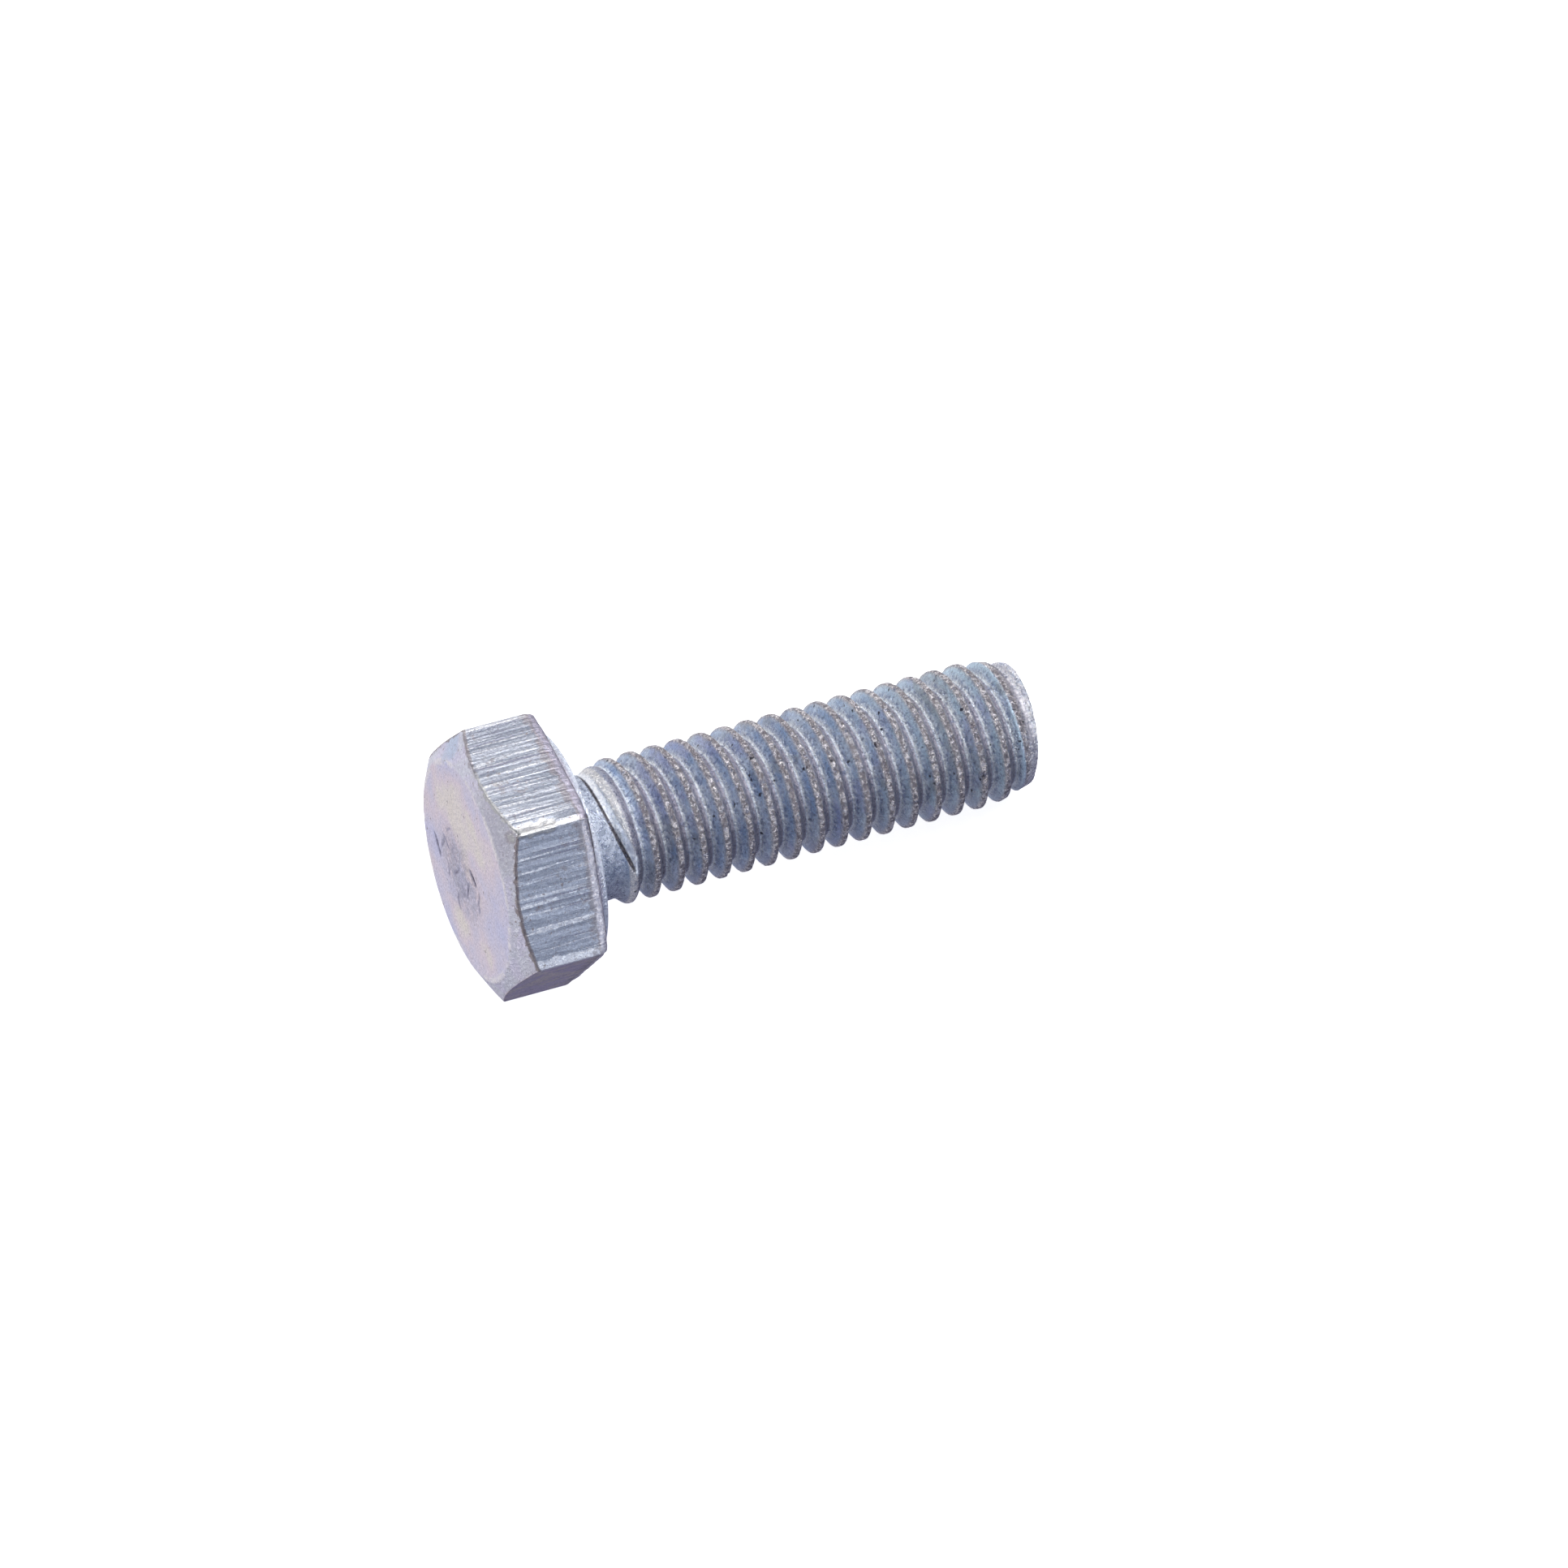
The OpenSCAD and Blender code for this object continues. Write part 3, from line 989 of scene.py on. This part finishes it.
def crown_edge(paint, skin, colour):
    line = 1.0 - paint.ease(skin.past_edge + 0.16 * skin.ripple, 0.07, 0.13)
    line = line * paint.ease(skin.past_edge + 0.30 * skin.ripple, -0.08, -0.03)
    by_lip = paint.ease(skin.across, -1.8, 0.8)
    # painted shade with a brown tint: the thin line along the arc
    colour = paint.mix(line * (1.0 - skin.upper) * (1.0 - 0.85 * skin.low) * 0.85, colour, STEEL_BROWN)
    colour = paint.mix(line * skin.upper * (1.0 - by_lip) * 0.6, colour, STEEL_BROWN)
    curl = distance_to(paint, skin.place, CURL_SPOT) + 0.6 * skin.ripple
    colour = paint.mix(0.4 - 0.4 * paint.ease(curl, 0.22, 0.34), colour, STEEL_BROWN)
    burr = paint.ease(skin.lip + line * skin.upper * by_lip, 0.25, 0.75)
    burr = burr + (1.0 - paint.ease(curl, 0.15, 0.20))
    return paint.mix(burr * (0.75 + 0.25 * skin.speckle), colour, BURR_WHITE)


print("curl at", CURL_SPOT, "mm")

# %% [markdown]
# Last come the worn middle of the crown, the dents, which turn grey and then nearly black where they are
# deepest, and specks and pits everywhere. A fine speckle over all of it keeps any tone from being flat.

# %% Wear and dirt on the head
WORN_BLUE = (0.44, 0.46, 0.58)
DENT_GREY = (0.34, 0.33, 0.44)
DENT_BLACK = (0.11, 0.10, 0.14)
SPECKLE_LOW = (0.84, 0.84, 0.87)
SPECKLE_HIGH = (1.07, 1.07, 1.06)


def wear_and_dirt(paint, skin, colour):
    colour = paint.mix(skin.worn * skin.patches * 0.6, colour, WORN_BLUE)
    colour = paint.mix(skin.worn * (1.0 - skin.speckle) * 0.4, colour, STEEL_BROWN)
    colour = paint.mix(paint.ease(skin.dent, 0.25, 0.9) * 0.75, colour, DENT_GREY)
    colour = paint.mix(paint.ease(skin.dent, 1.2, 1.9) * 0.85, colour, DENT_BLACK)
    specks = paint.ease(paint.grain(skin.place, 9.0, 2.0, 0.6, 17), 0.60, 0.68)
    colour = paint.mix(specks * 0.45, colour, STEEL_BROWN)
    pits = paint.ease(paint.grain(skin.place, 5.0, 2.0, 0.5, 6), 0.69, 0.73)
    colour = paint.mix(pits * 0.8, colour, STEEL_BROWN)
    return paint.mix(1.0, colour, paint.mix(skin.speckle, SPECKLE_LOW, SPECKLE_HIGH), "MULTIPLY")


print("dents darken to", DENT_BLACK)

# %% [markdown]
# The layers are put together here. Only the colour, the roughness and the bump change over the surface. The
# bump carries what is finer than the mesh: grain on the crown, hairs on the flats and the worn patches.

# %% Zinc on the head
BUMP_DEPTH = 0.04


def metal(paint, colour, roughness, height):
    """Metal of a colour and a roughness, with fine bumps of a height that goes from about 0 to 1."""
    bump = paint.node("Bump", {}, {"Height": height, "Strength": 1.0, "Distance": BUMP_DEPTH / MM})
    sockets = {"Base Color": colour, "Metallic": 1.0, "Roughness": roughness, "Normal": bump}
    paint.node("OutputMaterial", {}, {"Surface": paint.node("BsdfPrincipled", {}, sockets)})


def head_finish():
    material = bpy.data.materials.new("zinc_head")
    paint = Paint(material)
    skin = head_skin(paint)
    colour = crown_and_cone(paint, skin)
    for layer in (scraped_flats, corners_and_foot, crown_edge, wear_and_dirt):
        colour = layer(paint, skin, colour)
    roughness = 0.36 + 0.08 * skin.crown - 0.02 * skin.flat + 0.08 * (skin.speckle - 0.5)
    height = (0.55 - 0.35 * skin.flat) * skin.speckle + skin.worn * skin.patches
    height = height + skin.flat * (skin.lines * 0.8 + skin.light_hairs * 0.6)
    metal(paint, colour, roughness, height)
    return material


head.data.materials.append(head_finish())
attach(head, "root")
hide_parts("hex_head")
print("head finished in", head.data.materials[0].name)

# %% [markdown]
# ## Zinc on the shank
#
# The thread takes the same zinc, but each part of the profile has its own character, so this finish is built
# up in layers too. `deep` is 0 on a crest and 1 in a root. The side of the groove that faces the head is
# crinkled near its bottom, and `crumbs` is the coarse grain that the crinkles and the torn crests share.

# %% Masks of the shank
SHANK_MASKS = ("crest", "root", "tipward", "tip", "crease", "threaded", "pale", "deep")


def shank_skin(paint):
    """The shank's masks and its common patterns by name."""
    skin = SimpleNamespace(**{name: paint.mask(name) for name in SHANK_MASKS})
    skin.place = place_in_mm(paint)
    skin.along = paint.node("SeparateXYZ", {}, {"Vector": skin.place})
    skin.speckle = paint.ease(paint.grain(skin.place, 7.5, 4.0, 0.75, 12), 0.36, 0.64)
    skin.crumbs = paint.ease(paint.grain(skin.place, 5.0, 4.0, 0.7, 19), 0.42, 0.58)
    skin.crinkled = paint.ease(skin.deep, 0.45, 0.75) * (1.0 - skin.tipward) * skin.threaded
    return skin


print("shank has", len(SHANK_MASKS), "masks")

# %% [markdown]
# The groove is clouded blue, clearer towards the point, with broad violet and grey stains. It is painted
# darker with depth as painted shade, and the crinkles break into dark and light crumbs. The flank that faces
# the point is painted a darker brownish grey: a brown tint with painted shade on the side turned from the
# light. The root was burnished by the crest of the die, and a painted highlight makes it a bright line. A
# painted navy shade runs along the low near side of the bolt.

# %% Groove
CLOUD_DARK = (0.38, 0.52, 0.76)
CLOUD_LIGHT = (0.69, 0.80, 0.95)
POINT_BLUE = (0.72, 0.90, 1.00)
VIOLET = (0.52, 0.50, 0.82)
STAIN_GREY = (0.36, 0.37, 0.37)
GROOVE_PAINTED_SHADE = (0.20, 0.24, 0.38)
CRUMB_DARK = (0.26, 0.32, 0.52)
CRUMB_LIGHT = (0.88, 0.94, 1.00)
TIPWARD_BROWN_AND_SHADE = (0.35, 0.32, 0.36)
ROOT_BURNISH_AND_HIGHLIGHT = (0.97, 1.00, 1.00)
UNDERSIDE_NAVY_SHADE = (0.20, 0.21, 0.34)
UNDER_DIRECTION = (0, -0.28, -0.20)


def groove(paint, skin):
    cloud = paint.ease(paint.grain(skin.place, 0.7, 3.0, 0.6, 11), 0.38, 0.62)
    colour = paint.mix(cloud, CLOUD_DARK, CLOUD_LIGHT)
    colour = paint.mix(paint.ease(skin.along, 9.0, 17.0) * 0.85, colour, POINT_BLUE)
    violet = paint.ease(paint.grain(skin.place, 0.35, 3.0, 0.6, 18), 0.50, 0.62)
    colour = paint.mix(violet * skin.threaded * 0.4, colour, VIOLET)
    stain = paint.ease(paint.grain(skin.place, 0.45, 3.0, 0.6, 15), 0.52, 0.66)
    colour = paint.mix(stain * skin.threaded * 0.6, colour, STAIN_GREY)
    # painted shade: the groove darkens with depth
    colour = paint.mix(skin.deep * (1.0 - skin.root) * skin.threaded * 0.4, colour, GROOVE_PAINTED_SHADE)
    colour = paint.mix(skin.crinkled * (1.0 - skin.crumbs) * 0.6, colour, CRUMB_DARK)
    colour = paint.mix(skin.crinkled * skin.crumbs * 0.6, colour, CRUMB_LIGHT)
    # painted shade with a brown tint on the flank that faces the point
    colour = paint.mix(skin.tipward * 0.9, colour, TIPWARD_BROWN_AND_SHADE)
    # painted highlight along the burnished root line
    colour = paint.mix(skin.root * 0.95, colour, ROOT_BURNISH_AND_HIGHLIGHT)
    # painted shade: a navy darkening along the low near side of the shank
    sockets = {0: skin.place, 1: UNDER_DIRECTION}
    under = paint.node("VectorMath", {"operation": "DOT_PRODUCT"}, sockets, "Value")
    return paint.mix(paint.ease(under, 0.76, 0.97) * 0.75, colour, UNDERSIDE_NAVY_SHADE)


print("groove goes from", CLOUD_DARK, "to", CLOUD_LIGHT)

# %% [markdown]
# The torn crests are warm brown with bright crumbs: the knocks in the barrel wear the zinc off there first,
# and the bright crumbs also serve as painted sparkle highlights. The very end of the point is painted nearly
# white, partly rubbed wear and partly a painted highlight round its ring.

# %% Crests and point
CREST_BROWN = (0.28, 0.245, 0.25)
CREST_WEAR_AND_SPARKLE = (0.96, 0.92, 0.91)
POINT_WEAR_AND_HIGHLIGHT = (0.98, 0.96, 0.97)


def crests_and_point(paint, skin, colour):
    colour = paint.mix(skin.crest * 0.95, colour, CREST_BROWN)
    # painted sparkle highlights on the crests, mixed with wear
    colour = paint.mix(skin.crest * skin.crumbs * 0.7, colour, CREST_WEAR_AND_SPARKLE)
    # painted highlight round the end of the point, mixed with wear
    return paint.mix(skin.tip * (0.4 + 0.6 * skin.crumbs), colour, POINT_WEAR_AND_HIGHLIGHT)


print("crests are", CREST_BROWN, "with", CREST_WEAR_AND_SPARKLE)

# %% [markdown]
# The neck is plain blank: mottled grey, with a painted pale highlight at the fillet. The first rising crest
# is still a smooth ridge with a painted cream highlight, the fold's outer side is pale with painted light,
# and its sharp line is painted nearly black as painted shade in the crease.

# %% Neck and fold
NECK_DARK = (0.42, 0.44, 0.50)
NECK_LIGHT = (0.68, 0.70, 0.76)
FILLET_PAINTED_HIGHLIGHT = (0.92, 0.95, 1.00)
RIDGE_PAINTED_HIGHLIGHT = (1.00, 0.98, 0.94)
FOLD_PAINTED_LIGHT = (0.97, 0.99, 1.00)
FOLD_PAINTED_SHADE = (0.08, 0.07, 0.08)


def neck_and_fold(paint, skin, colour):
    neck = paint.mix(skin.crumbs, NECK_DARK, NECK_LIGHT)
    colour = paint.mix((1.0 - skin.threaded) * 0.75, colour, neck)
    # painted highlight at the fillet
    colour = paint.mix(0.7 - 0.7 * paint.ease(skin.along, 0.50, 0.80), colour, FILLET_PAINTED_HIGHLIGHT)
    ridge = skin.crest * (1.0 - paint.ease(skin.along, 1.8, 2.3))
    # painted highlight along the first rising ridge
    colour = paint.mix(ridge * 0.85, colour, RIDGE_PAINTED_HIGHLIGHT)
    # painted light on the fold's outer side
    colour = paint.mix(skin.pale * 0.9, colour, FOLD_PAINTED_LIGHT)
    # painted shade: the crease's sharp line is painted nearly black
    return paint.mix(paint.ease(skin.crease, 0.15, 0.55) * 0.95, colour, FOLD_PAINTED_SHADE)


print("neck goes from", NECK_DARK, "to", NECK_LIGHT)

# %% [markdown]
# Dark spots keep off the pale fold, and a few black pits sit anywhere. A speckle like the head's covers it
# all.

# %% Dirt on the shank
SPOT_NAVY = (0.20, 0.24, 0.36)
PIT_BLACK = (0.03, 0.03, 0.05)
SHANK_SPECKLE_LOW = (0.74, 0.75, 0.79)
SHANK_SPECKLE_HIGH = (1.08, 1.08, 1.07)


def shank_dirt(paint, skin, colour):
    spots = paint.ease(paint.grain(skin.place, 4.5, 3.0, 0.6, 16), 0.59, 0.67)
    colour = paint.mix(spots * 0.6 * (1.0 - skin.pale), colour, SPOT_NAVY)
    pits = paint.ease(paint.grain(skin.place, 3.2, 2.0, 0.5, 14), 0.70, 0.73)
    colour = paint.mix(pits * 0.95, colour, PIT_BLACK)
    speckled = paint.mix(skin.speckle, SHANK_SPECKLE_LOW, SHANK_SPECKLE_HIGH)
    return paint.mix(1.0, colour, speckled, "MULTIPLY")


print("pits are", PIT_BLACK)

# %% [markdown]
# The layers are put together as on the head. The fold is smooth, and the rest is bumpy with speckle and a
# finer grain. The torn crests and the crinkles are the roughest.

# %% Zinc on the shank
def shank_finish():
    material = bpy.data.materials.new("zinc_shank")
    paint = Paint(material)
    skin = shank_skin(paint)
    colour = groove(paint, skin)
    for layer in (crests_and_point, neck_and_fold, shank_dirt):
        colour = layer(paint, skin, colour)
    roughness = 0.30 + 0.12 * (skin.speckle - 0.5) - 0.08 * skin.crest
    fine = paint.grain(skin.place, 20.0, 3.0, 0.7, 13)
    coarse = skin.crest * paint.ease(skin.along, 1.8, 2.4) + skin.crinkled
    height = (1.0 - 0.8 * skin.pale) * (0.5 * skin.speckle + 0.5 * fine) + coarse * skin.crumbs * 0.8
    metal(paint, colour, roughness, height)
    return material


shank.data.materials.append(shank_finish())
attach(shank, "root")
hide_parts("plain_neck", "threaded_shank")
print("shank finished in", shank.data.materials[0].name)

# %% [markdown]
# ## Floor
#
# A bolt that is put down on a table rests on one edge of its head and on a crest near its point, so its
# axis tilts. The CAD axes follow the bolt, so here the floor tilts instead. Its slope is the lowest one from
# the head's lowest edge to any point of the shank, and a few rounds settle which edge that is.

# %% Where the bolt rests
SETTLING_ROUNDS = 3


def side_view(piece):
    """The piece's points as seen from the side, each as its lengthwise and its upright place."""
    places = np.empty(3 * len(piece.data.vertices))
    piece.data.vertices.foreach_get("co", places)
    return places.reshape(-1, 3)[:, [0, 2]]


head_side = side_view(head)
shank_side = side_view(shank)
resting = head_side[np.argmin(head_side[:, 1])]
for _ in range(SETTLING_ROUNDS):
    floor_slope = np.min((shank_side[:, 1] - resting[1]) / (shank_side[:, 0] - resting[0]))
    resting = head_side[np.argmin(head_side[:, 1] - floor_slope * head_side[:, 0])]
floor_tilt = math.atan(floor_slope)
print(f"rests at {resting[0] * MM:.2f} mm along the axis, tilted {math.degrees(floor_tilt):.1f} degrees")

# %% [markdown]
# The floor is white paper that glows a little, so that it stays white everywhere. It doesn't show in the
# metal's reflections: the sky, next, stands for the paler and darker parts of the room that metal mirrors.

# %% Floor
FLOOR_SIZE = 0.30
PAPER_LOW = (0.90, 0.90, 0.90)
PAPER_HIGH = (0.94, 0.94, 0.94)
PAPER_GLOW = 0.8

floor_mesh = bpy.data.meshes.new("floor")
floor_mesh.from_pydata(
    [(x * FLOOR_SIZE, y * FLOOR_SIZE, 0) for x, y in ((-1, -1), (1, -1), (1, 1), (-1, 1))],
    [],
    [(0, 1, 2, 3)],
)
floor = bpy.data.objects.new("floor", floor_mesh)
floor.location = (resting[0], 0, resting[1])
floor.rotation_euler = (0, -floor_tilt, 0)
floor.visible_glossy = False
bpy.context.scene.collection.objects.link(floor)


def floor_finish():
    material = bpy.data.materials.new("white_paper")
    paint = Paint(material)
    grain = paint.grain(place_in_mm(paint), 0.5, 4.0, 0.6, 21)
    sockets = {
        "Base Color": paint.mix(grain, PAPER_LOW, PAPER_HIGH),
        "Roughness": 0.9,
        "Emission Color": (*WHITE, 1.0),
        "Emission Strength": PAPER_GLOW,
    }
    surface = paint.node("BsdfPrincipled", {}, sockets)
    paint.node("OutputMaterial", {}, {"Surface": surface})
    return material


floor_mesh.materials.append(floor_finish())
print("floor", 2 * FLOOR_SIZE, "m wide")

# %% [markdown]
# ## Light
#
# Metal shows what stands round it. A white sweep behind and to the left of the bolt gives the crown and the
# upper flat their pale tones, and the darker side towards the camera gives the near flat and the shank
# their mid greys. Both are one smooth change in the sky's own brightness, which is simpler than building
# walls. A darker patch below the shank stands for the shade that the bolt itself casts on the table.

# %% Sky
SWEEP_DIRECTION = (-0.60, 0.76, 0.02)
DARK_SIDE = (0.25, 0.27, 0.36)
BRIGHT_SIDE = (0.94, 0.94, 0.99)
SHADOW_DIRECTION = (0.50, 0.04, -0.865)
SHADOW_TONE = (0.16, 0.16, 0.25)

world = bpy.data.worlds.new("studio")
bpy.context.scene.world = world
sky = Paint(world)
direction = sky.node("TexCoord", output="Generated")
towards = sky.node("VectorMath", {"operation": "DOT_PRODUCT"}, {0: direction, 1: SWEEP_DIRECTION}, "Value")
tone = sky.mix(sky.ease(towards, -0.75, 0.65), DARK_SIDE, BRIGHT_SIDE)
below = sky.node("VectorMath", {"operation": "DOT_PRODUCT"}, {0: direction, 1: SHADOW_DIRECTION}, "Value")
tone = sky.mix(sky.ease(below, 0.58, 0.84) * 0.9, tone, SHADOW_TONE)
sky_light = sky.node("Background", {}, {"Color": tone, "Strength": 1.0})
sky.node("OutputWorld", {}, {"Surface": sky_light})
print("sky from", DARK_SIDE, "to", BRIGHT_SIDE)

# %% [markdown]
# Two soft lights do the rest. The one overhead draws the bright lines along the crests, and the faint cool
# one in front opens up the shaded side of the thread. A square light is soft because it is large: the metal
# mirrors its whole area.

# %% Soft lights
LIT_X = 7.0


def soft_light(name, direction, distance, size, brightness, colour):
    """A square light that faces the bolt, as bright as brightness wherever the metal mirrors it."""
    data = bpy.data.lights.new(name, "AREA")
    data.size = size
    data.energy = brightness * math.pi * size**2
    data.color = colour
    light = bpy.data.objects.new(name, data)
    middle = Vector((LIT_X, 0.0, 0.0)) / MM
    towards_light = Vector(direction).normalized()
    light.location = middle + towards_light * distance
    light.rotation_euler = towards_light.to_track_quat("Z", "Y").to_euler()
    bpy.context.scene.collection.objects.link(light)
    print(name, "at", [round(value, 3) for value in light.location])


soft_light(
    "overhead_light",
    direction=(0.32, -0.12, 0.94),
    distance=0.60,
    size=0.20,
    brightness=22.0,
    colour=(1.0, 0.98, 0.95),
)
soft_light(
    "front_light",
    direction=(0.42, -0.90, 0.10),
    distance=0.60,
    size=0.38,
    brightness=1.2,
    colour=(0.82, 0.90, 1.0),
)

# %% [markdown]
# Colours are shown plainly, with no film-like curve, so that a white floor stays white.

# %% Colours as they are
bpy.context.scene.view_settings.view_transform = "Standard"
print("view transform", bpy.context.scene.view_settings.view_transform)
